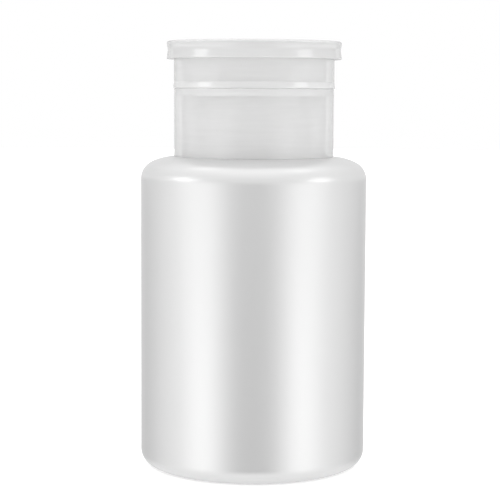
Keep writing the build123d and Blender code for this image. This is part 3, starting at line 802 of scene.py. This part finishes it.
class REMOVER_OT_tray(bpy.types.Operator):
    """Makes the tray ring with its two hinge ears"""

    bl_idname = "remover.tray"
    bl_label = "Tray ring"

    def execute(self, context):
        s, lid = context.scene.remover_closure, context.scene.remover_lid
        ring_r, well_r = ring_radii(context.scene)
        base_z = s.flange_top_z + s.plate_t
        floor_z = base_z + s.floor_t
        top_z = base_z + s.ring_h
        hole_r = context.scene.remover_button.button_r + s.button_gap
        weir_r = hole_r + s.weir_wall
        tongue_r = collar_radii(context.scene)[-1] - s.tongue_inset
        fine = s.edge_r / 2
        outline = rounded(
            (well_r, top_z, s.rim_round),
            (well_r, floor_z + s.fall, s.tray_round),
            (weir_r, floor_z, fine),
            (weir_r, floor_z + s.weir_h, s.edge_r),
            (hole_r, floor_z + s.weir_h, s.edge_r),
            (hole_r, base_z, fine),
            (tongue_r - s.tongue_t, base_z, fine),
            (tongue_r - s.tongue_t, base_z - s.tongue_h, fine),
            (tongue_r, base_z - s.tongue_h, fine),
            (tongue_r, base_z, fine),
            (ring_r + s.bead_out, base_z, fine),
            (ring_r + s.bead_out, base_z + s.bead_h, fine / 2),
            (ring_r, base_z + s.bead_h + s.bead_flare, s.bead_flare),
            (ring_r, top_z, s.rim_round),
        )
        ring = turned("tray", outline)
        hinge_y, hinge_z = hinge_axis(context.scene)
        root_y = well_r + lid.ear_bury
        ear = [
            (root_y, hinge_z + lid.ear_r / 2),
            (root_y, hinge_z - lid.ear_r - lid.ear_gusset),
            (hinge_y, hinge_z - lid.ear_r),
            (hinge_y, hinge_z + lid.ear_r / 2),
        ]
        lugs, bores = [], []
        for side in (-1, 1):
            x = side * (lid.knuckle_w / 2 + lid.ear_gap + lid.ear_t / 2)
            lugs.append(slab("ear", ear, lid.ear_t, x))
            lugs.append(rod_across("ear_round", lid.ear_r, lid.ear_t, hinge_y, hinge_z, x))
            bores.append(rod_across("ear_bore", lid.pin_r + lid.pin_gap, 2 * lid.ear_t, hinge_y, hinge_z, x))
        joined(ring, lugs, "UNION")
        joined(ring, bores, "DIFFERENCE")
        place(ring, "closure", "tray_ring", "clear_cap", finish("tray"))
        return {"FINISHED"}


class REMOVER_OT_lid(bpy.types.Operator):
    """Makes the flip lid with its knuckle and pins"""

    bl_idname = "remover.lid"
    bl_label = "Flip lid"

    def execute(self, context):
        closure, s = context.scene.remover_closure, context.scene.remover_lid
        ring_r, well_r = ring_radii(context.scene)
        plate_z = closure.flange_top_z + closure.plate_t + closure.ring_h + s.gap
        top_z = plate_z + s.plate_t
        skirt_bore_r = ring_r + s.skirt_gap
        lid_r = skirt_bore_r + s.skirt_wall
        skirt_z = plate_z - s.skirt_h
        plug_r = well_r - s.plug_gap
        recess_r = lid_r - s.rim_w
        fine = closure.edge_r / 2
        outline = [(0.0, top_z - s.recess - s.gate_depth)]
        outline += rounded(
            (s.gate_r, top_z - s.recess - s.gate_depth, s.gate_depth / 3),
            (s.gate_r + s.gate_depth, top_z - s.recess, s.gate_depth / 3),
            (recess_r, top_z - s.recess, s.recess / 2),
            (recess_r + s.recess, top_z, s.recess / 3),
            (lid_r, top_z, s.edge_r),
            (lid_r, top_z - 2 * s.edge_r, s.edge_r),
            (lid_r - s.waist_in, skirt_z + s.waist_h, s.waist_round),
            (lid_r + s.lip_out, skirt_z, closure.edge_r),
            (skirt_bore_r, skirt_z, closure.edge_r),
            (skirt_bore_r, plate_z, fine),
            (plug_r, plate_z, fine),
            (plug_r, plate_z - s.plug_h, closure.edge_r),
            (plug_r - s.plug_wall, plate_z - s.plug_h, closure.edge_r),
            (plug_r - s.plug_wall, plate_z, fine),
            (0.0, plate_z),
        )
        lid = turned("lid", outline)
        hinge_y, hinge_z = hinge_axis(context.scene)
        ear_outer_x = s.knuckle_w / 2 + s.ear_gap + s.ear_t
        notch = [
            (well_r, plate_z),
            (well_r, skirt_z - s.skirt_h),
            (hinge_y + s.ear_r, skirt_z - s.skirt_h),
            (hinge_y + s.ear_r, plate_z),
        ]
        joined(lid, [slab("notch", notch, 2 * (ear_outer_x + s.notch_gap))], "DIFFERENCE")
        front_y, back_y = hinge_y - s.ear_r, hinge_y + s.ear_r
        cover_z = plate_z + s.knuckle_cover_t
        knuckle = [
            (front_y - s.ear_r, plate_z + fine / 4),
            (front_y, plate_z + fine / 4),
            (front_y, hinge_z),
            (back_y, hinge_z),
            (back_y, cover_z - s.knuckle_back_r),
            (back_y - s.knuckle_back_r, cover_z),
            (front_y - s.ear_r, cover_z),
        ]
        parts = [
            slab("knuckle", knuckle, s.knuckle_w),
            rod_across("knuckle_round", s.ear_r, s.knuckle_w, hinge_y, hinge_z),
            rod_across("pins", s.pin_r, 2 * (ear_outer_x - s.pin_end_gap), hinge_y, hinge_z),
        ]
        joined(lid, parts, "UNION")
        place(lid, "lid", "flip_lid", "clear_cap", finish("lid"))
        return {"FINISHED"}


class REMOVER_OT_button(bpy.types.Operator):
    """Makes the dished press button and its nozzle"""

    bl_idname = "remover.button"
    bl_label = "Press button"

    def execute(self, context):
        s = context.scene.remover_button
        low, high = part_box("press_button")
        top_z, skirt_z = high.z, low.z
        dish_z = top_z - s.dish_drop
        nozzle_z = dish_z + s.nozzle_lift - s.nozzle_t
        stem_top_z = nozzle_z - s.nozzle_floor_gap
        under_z = dish_z - s.top_t
        hub_bore_r = s.stem_r + s.press_gap
        hub_r = hub_bore_r + s.hub_wall
        fine = s.edge_r / 4
        outline = rounded(
            (hub_bore_r, skirt_z, fine),
            (hub_bore_r, stem_top_z),
            (s.nozzle_room_r, stem_top_z),
            (s.nozzle_room_r, nozzle_z),
            (s.nozzle_r + s.press_gap, nozzle_z),
            (s.nozzle_r + s.press_gap, dish_z, fine),
            (s.button_r - 2 * s.edge_r, top_z, s.edge_r),
            (s.button_r, top_z, s.edge_r),
            (s.button_r, skirt_z, fine),
            (s.button_r - s.skirt_wall, skirt_z, fine),
            (s.button_r - s.skirt_wall, under_z, s.edge_r),
            (hub_r, under_z, s.edge_r),
            (hub_r, skirt_z, fine),
        )
        button = turned("button", outline, steps=96)
        place(button, "plunger", "press_button", "pump_plastic", finish("pump"))
        post_z = stem_top_z - s.post_gap
        disc = [(0.0, nozzle_z + s.nozzle_t)]
        disc += rounded(
            (s.nozzle_r, nozzle_z + s.nozzle_t, fine),
            (s.nozzle_r, nozzle_z, fine),
            (s.post_r, nozzle_z, fine),
            (s.post_r, post_z, fine),
            (0.0, post_z),
        )
        nozzle = turned("nozzle", disc, steps=64)
        holes = []
        for turn in around(s.holes):
            ends = (nozzle_z - s.nozzle_t, nozzle_z + 2 * s.nozzle_t)
            hole = tube("hole", [circle(s.hole_r, z, steps=20, centre_x=s.hole_ring_r) for z in ends])
            hole.data.transform(turn)
            holes.append(hole)
        joined(nozzle, holes, "DIFFERENCE")
        place(nozzle, "plunger", "nozzle_insert", "pump_plastic", finish("pump"))
        return {"FINISHED"}


class REMOVER_OT_spring(bpy.types.Operator):
    """Makes the return spring with closed ends"""

    bl_idname = "remover.spring"
    bl_label = "Return spring"

    def execute(self, context):
        s = context.scene.remover_button
        low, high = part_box("return_spring")
        start_z, end_z = low.z + s.wire_r, high.z - s.wire_r
        closed_rise = 2 * s.wire_r * s.dead_coils
        open_coils = s.coils - 2 * s.dead_coils
        open_rise = end_z - start_z - 2 * closed_rise
        steps_in_turn, sides = 48, 12
        rings = []
        for step in range(round(s.coils * steps_in_turn) + 1):
            turn = step / steps_in_turn
            opened = min(max((turn - s.dead_coils) / open_coils, 0.0), 1.0)
            closed = min(turn, s.dead_coils) + max(turn - s.dead_coils - open_coils, 0.0)
            z = start_z + opened * open_rise + closed * 2 * s.wire_r
            a = math.tau * turn
            out = Vector((math.cos(a), math.sin(a), 0.0))
            ring = []
            for side in range(sides):
                b = math.tau * side / sides
                lift = Vector((0.0, 0.0, z + s.wire_r * math.sin(b)))
                ring.append(out * (s.coil_r + s.wire_r * math.cos(b)) + lift)
            rings.append(ring)
        spring = tube("spring", rings)
        place(spring, "pump_unit", "return_spring", "steel", finish("wire"))
        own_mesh(spring)
        return {"FINISHED"}


class REMOVER_OT_pump(bpy.types.Operator):
    """Makes the gasket, and gives the parts inside the pump their finishes"""

    bl_idname = "remover.pump"
    bl_label = "Pump parts"

    def execute(self, context):
        s = context.scene.remover_button
        low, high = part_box("neck_gasket")
        outline = rounded(
            (s.gasket_bore_r, low.z, s.gasket_edge_r),
            (high.x, low.z, s.gasket_edge_r),
            (high.x, high.z, s.gasket_edge_r),
            (s.gasket_bore_r, high.z, s.gasket_edge_r),
        )
        gasket = turned("gasket", outline, steps=96)
        place(gasket, "pump_unit", "neck_gasket", "foam", finish("foam"))
        finishes = {
            "pump": ["pump_cylinder", "ball_retainer", "stem_guide", "dip_tube", "pump_stem", "spring_seat"],
            "seal": ["stem_wiper", "piston_seal"],
            "ball": ["inlet_ball", "outlet_ball"],
        }
        for kind, nodes in finishes.items():
            for node in nodes:
                for material_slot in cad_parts[node].material_slots:
                    material_slot.material = finish(kind)
        return {"FINISHED"}


# Studio

# the brightest level that a ramp can give
top_level = 2.5
# below the horizon, bearing in degrees from the front and the level: dim front, soft light, flag, backdrop
side_levels = [(11, 0.0), (50, 2.2), (84, 0.96), (138, 0.42), (165, 0.8)]
# over the horizon, sine of the height and the level: an even tent, brighter overhead
tent_levels = [(0.08, 0.92), (0.35, 0.88), (0.7, 1.12), (0.95, 1.38)]
table_level = 1.25
# bearing, height and reach in degrees, level and flatness: softboxes beside the head, and small lamps
lamps = [(-75, 13, 10, 3.6, 1.5), (71, 14, 10, 3.0, 1.5), (-119, 63, 4, 3.0, 1.0), (104, 63, 4, 3.0, 1.0)]
# share of a lamp's reach over which its edge fades, on each side of it
lamp_fade = 0.3
# soft edges in the sphere of directions, from none of the new level to all of it: of the tent by its sine of
# the height, of the table likewise, and of the backdrop by the cosine of the angle from straight behind
tent_edge = {"From Min": -0.07, "From Max": 0.01}
table_edge = {"From Min": -0.25, "From Max": -0.6}
backdrop_edge = {"From Min": 0.85, "From Max": 0.97}
# light that the floor adds of its own for the camera, gloss and clear plastic
floor_glow = 0.4


def round_light(tree, way, bearing, height, reach, level):
    """Strength of a soft light in one direction. Bearing from the front, height and reach are in degrees."""
    turn, lift = math.radians(bearing), math.radians(height)
    towards = (math.sin(turn) * math.cos(lift), -math.cos(turn) * math.cos(lift), math.sin(lift))
    near = add(tree, "ShaderNodeVectorMath", {"operation": "DOT_PRODUCT", 1: towards}, {0: way})
    edge = eased | {
        "From Min": math.cos(math.radians(reach * (1 + lamp_fade))),
        "From Max": math.cos(math.radians(reach * (1 - lamp_fade))),
        "To Max": level,
    }
    return add(tree, "ShaderNodeMapRange", edge, {"Value": near.outputs["Value"]}).outputs["Result"]


def level_ramp(tree, stops, along):
    """A light level that eases from stop to stop, each one a share of the way along and the level there."""
    ramp = add(tree, "ShaderNodeValToRGB", links={"Fac": along})
    ramp.color_ramp.interpolation = "EASE"
    elements = ramp.color_ramp.elements
    while len(elements) < len(stops):
        elements.new(0.5)
    for element, (share, level) in zip(elements, stops):
        element.position = share
        element.color = (level / top_level,) * 3 + (1.0,)
    scaled = {"operation": "MULTIPLY", 1: top_level}
    return add(tree, "ShaderNodeMath", scaled, {0: ramp.outputs["Color"]}).outputs["Value"]


def studio_world(scene):
    """An even tent over the horizon, a dim front with a soft light on each side, and small bright lamps."""
    world = bpy.data.worlds.new("studio")
    world.use_nodes = True
    scene.world = world
    tree = world.node_tree
    tree.nodes.clear()
    way = add(tree, "ShaderNodeTexCoord").outputs["Generated"]
    axes = add(tree, "ShaderNodeSeparateXYZ", links={"Vector": way}).outputs
    # below the horizon the level changes with the bearing, alike on both sides
    beside = add(tree, "ShaderNodeMath", {"operation": "ABSOLUTE"}, {0: axes["X"]}).outputs[0]
    front = add(tree, "ShaderNodeMath", {"operation": "MULTIPLY", 1: -1.0}, {0: axes["Y"]}).outputs[0]
    bearing = add(tree, "ShaderNodeMath", {"operation": "ARCTAN2"}, {0: beside, 1: front}).outputs[0]
    share = add(tree, "ShaderNodeMapRange", {"From Max": math.pi}, {"Value": bearing}).outputs["Result"]
    sides = level_ramp(tree, [(degrees / 180, level) for degrees, level in side_levels], share)
    # over it the level changes with the height
    tent = level_ramp(tree, tent_levels, axes["Z"])
    over = add(tree, "ShaderNodeMapRange", eased | tent_edge, {"Value": axes["Z"]}).outputs["Result"]
    light = add(tree, "ShaderNodeMix", links={0: over, 2: sides, 3: tent}).outputs[0]
    # the table as polish mirrors it, which keeps the base pale
    below = add(tree, "ShaderNodeMapRange", eased | table_edge, {"Value": axes["Z"]}).outputs["Result"]
    light = add(tree, "ShaderNodeMix", {3: table_level}, {0: below, 2: light}).outputs[0]
    for side, height, reach, level, flatness in lamps:
        squashed = {"operation": "MULTIPLY", 1: (1.0, 1.0, flatness)}
        seen = add(tree, "ShaderNodeVectorMath", squashed, {0: way}).outputs[0]
        seen = add(tree, "ShaderNodeVectorMath", {"operation": "NORMALIZE"}, {0: seen}).outputs[0]
        glow = round_light(tree, seen, side, height * flatness, reach, level)
        light = add(tree, "ShaderNodeMath", {"operation": "ADD"}, {0: light, 1: glow}).outputs[0]
    # the white backdrop: all of it for the camera, and the part behind the object for gloss and clear plastic
    rays = add(tree, "ShaderNodeLightPath").outputs
    kinds = {0: rays["Is Glossy Ray"], 1: rays["Is Transmission Ray"]}
    kinds = add(tree, "ShaderNodeMath", {"operation": "MAXIMUM"}, kinds).outputs[0]
    behind = add(tree, "ShaderNodeMapRange", eased | backdrop_edge, {"Value": axes["Y"]}).outputs["Result"]
    part = add(tree, "ShaderNodeMath", {"operation": "MULTIPLY"}, {0: kinds, 1: behind}).outputs[0]
    white = {0: rays["Is Camera Ray"], 1: part}
    white = add(tree, "ShaderNodeMath", {"operation": "MAXIMUM"}, white).outputs[0]
    strength = add(tree, "ShaderNodeMix", {3: 1.0}, {0: white, 2: light}).outputs[0]
    sky = add(tree, "ShaderNodeBackground", {"Color": (1.0, 1.0, 1.0, 1.0)}, {"Strength": strength})
    add(tree, "ShaderNodeOutputWorld", links={"Surface": sky.outputs["Background"]})


def studio_floor(s, colours):
    """A round pale floor that keeps the object's shadow."""
    work = bmesh.new()
    bmesh.ops.create_circle(work, cap_ends=True, segments=96, radius=s.floor_r)
    floor = make_object("floor", close_faces(work, "floor"))
    floor.visible_glossy = False
    material, tree, where = blank_material("matt_white_paint")
    grain = add(tree, "ShaderNodeTexNoise", {"Scale": per(40.0), "Detail": 3.0}, {"Vector": where})
    paint = {"data_type": "RGBA", 6: shaded(colours.floor, 0.99), 7: tuple(colours.floor)}
    paint = add(tree, "ShaderNodeMix", paint, {0: grain.outputs["Fac"]}).outputs[2]
    matt = add(tree, "ShaderNodeBsdfDiffuse", links={"Color": paint})
    rays = add(tree, "ShaderNodeLightPath").outputs
    kinds = {0: rays["Is Camera Ray"], 1: rays["Is Transmission Ray"]}
    kinds = add(tree, "ShaderNodeMath", {"operation": "MAXIMUM"}, kinds).outputs[0]
    kinds = {0: kinds, 1: rays["Is Glossy Ray"]}
    kinds = add(tree, "ShaderNodeMath", {"operation": "MAXIMUM"}, kinds).outputs[0]
    lift = add(tree, "ShaderNodeMath", {"operation": "MULTIPLY", 1: floor_glow}, {0: kinds}).outputs[0]
    glow = add(tree, "ShaderNodeEmission", {"Color": (1.0, 1.0, 1.0, 1.0)}, {"Strength": lift})
    both = add(tree, "ShaderNodeAddShader", links={0: matt.outputs["BSDF"], 1: glow.outputs["Emission"]})
    add(tree, "ShaderNodeOutputMaterial", links={"Surface": both.outputs["Shader"]})
    floor.data.materials.append(material)


def studio_camera(scene, s):
    """The camera at the photograph's viewing angle."""
    data = bpy.data.cameras.new("camera")
    data.sensor_width = s.sensor
    data.lens = s.lens
    data.shift_x = s.shift
    data.clip_start = 10 * mm
    camera = bpy.data.objects.new("camera", data)
    scene.collection.objects.link(camera)
    place_at = Vector((0.0, -s.distance * math.cos(s.tilt), s.aim_z + s.distance * math.sin(s.tilt)))
    turn = Matrix.Rotation(math.pi / 2 - s.tilt, 4, "X") @ Matrix.Rotation(s.roll, 4, "Z")
    camera.matrix_world = Matrix.Translation(place_at) @ turn
    scene.camera = camera


class REMOVER_OT_studio(bpy.types.Operator):
    """Makes the floor, the light and the camera"""

    bl_idname = "remover.studio"
    bl_label = "Studio"

    def execute(self, context):
        scene = context.scene
        scene.view_settings.view_transform = "Standard"
        studio_world(scene)
        studio_floor(scene.remover_studio, scene.remover_finishes)
        studio_camera(scene, scene.remover_studio)
        return {"FINISHED"}


class REMOVER_PT_panel(bpy.types.Panel):
    """Lists the steps that build the bottle and its studio"""

    bl_idname = "REMOVER_PT_panel"
    bl_label = "Remover Pump"
    bl_space_type = "VIEW_3D"
    bl_region_type = "UI"
    bl_category = "Remover Pump"

    def draw(self, context):
        for step in steps:
            self.layout.operator(step.bl_idname)
        for name in settings:
            group = getattr(context.scene, name)
            box = self.layout.box()
            for key in group.bl_rna.properties.keys():
                if key not in {"rna_type", "name"}:
                    box.prop(group, key)


steps = [
    REMOVER_OT_bottle,
    REMOVER_OT_collar,
    REMOVER_OT_tray,
    REMOVER_OT_lid,
    REMOVER_OT_button,
    REMOVER_OT_spring,
    REMOVER_OT_pump,
    REMOVER_OT_studio,
]

settings = {
    "remover_bottle": BottleSizes,
    "remover_thread": ThreadSizes,
    "remover_closure": ClosureSizes,
    "remover_lid": LidSizes,
    "remover_button": ButtonSizes,
    "remover_finishes": Finishes,
    "remover_studio": StudioSettings,
}


def register():
    """Registers the settings, the operators and the panel."""
    for name, group in settings.items():
        bpy.utils.register_class(group)
        setattr(bpy.types.Scene, name, PointerProperty(type=group))
    for kind in [*steps, REMOVER_PT_panel]:
        bpy.utils.register_class(kind)


def unregister():
    """Takes back what register did."""
    for kind in [REMOVER_PT_panel, *steps[::-1]]:
        bpy.utils.unregister_class(kind)
    for name, group in settings.items():
        delattr(bpy.types.Scene, name)
        bpy.utils.unregister_class(group)


def main():
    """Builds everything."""
    register()
    bpy.ops.remover.bottle()
    bpy.ops.remover.collar()
    bpy.ops.remover.tray()
    bpy.ops.remover.lid()
    bpy.ops.remover.button()
    bpy.ops.remover.spring()
    bpy.ops.remover.pump()
    bpy.ops.remover.studio()


if __name__ == "__main__":
    main()
